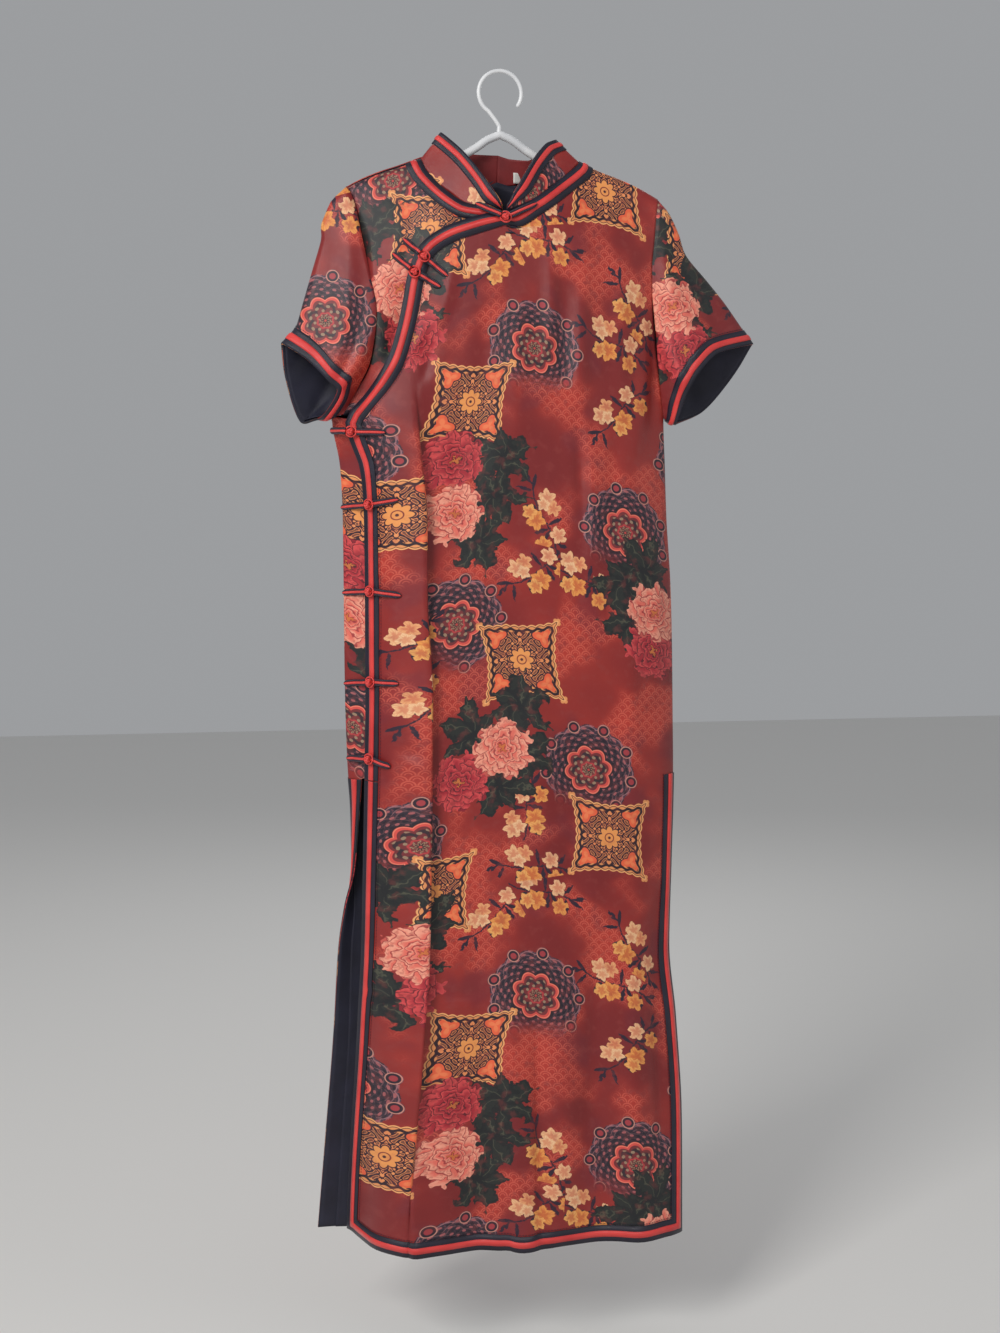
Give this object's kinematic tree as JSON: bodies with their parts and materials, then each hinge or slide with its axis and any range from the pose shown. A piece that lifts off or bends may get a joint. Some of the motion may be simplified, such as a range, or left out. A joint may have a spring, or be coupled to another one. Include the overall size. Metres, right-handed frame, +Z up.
{
  "type": "cheongsam dress on hanger",
  "caption": "Long short-sleeved cheongsam in printed satin with a stand collar, curved side opening, frog fastenings and side slits, hung on a plastic hanger.",
  "frame": {"origin": "inside top of the hanger's hook, where it rests on what holds it", "axes": "+Z up, +X to the right of someone facing the dress's front, the front faces -Y"},
  "size_m": [0.5482, 0.1209, 1.3483],
  "materials": {
    "satin": "woven satin with a soft sheen, brick red with a figured print",
    "lining": "plain matt navy lining",
    "navy": "smooth navy satin binding",
    "red": "bright coral-red satin cord and binding",
    "label": "plain white woven label",
    "plastic": "pale grey-white moulded plastic"
  },
  "bodies": {
    "root": {"front": "satin", "front_flap": "satin", "back": "satin", "sleeve_left": "satin", "sleeve_right": "satin", "collar_left": "satin", "collar_right": "satin", "back_lining": "lining", "sleeve_lining_left": "lining", "sleeve_lining_right": "lining", "collar_band_left": "navy", "collar_piping_left": "red", "collar_band_right": "navy", "collar_piping_right": "red", "opening_band": "navy", "opening_piping": "red", "front_skirt_band": "navy", "front_skirt_piping": "red", "back_skirt_band": "navy", "back_skirt_piping": "red", "flap_neck_band": "navy", "flap_neck_piping": "red", "cuff_band_left": "navy", "cuff_piping_left": "red", "cuff_band_right": "navy", "cuff_piping_right": "red", "frog_neck_knot": "red", "frog_neck_loop": "red", "frog_chest_upper_knot": "red", "frog_chest_upper_loop": "red", "frog_chest_lower_knot": "red", "frog_chest_lower_loop": "red", "frog_underarm_knot": "red", "frog_underarm_loop": "red", "frog_side_1_knot": "red", "frog_side_1_loop": "red", "frog_side_2_knot": "red", "frog_side_2_loop": "red", "frog_side_3_knot": "red", "frog_side_3_loop": "red", "frog_side_4_knot": "red", "frog_side_4_loop": "red", "neck_label": "label", "hanger": "plastic"}
  },
  "joints": []
}
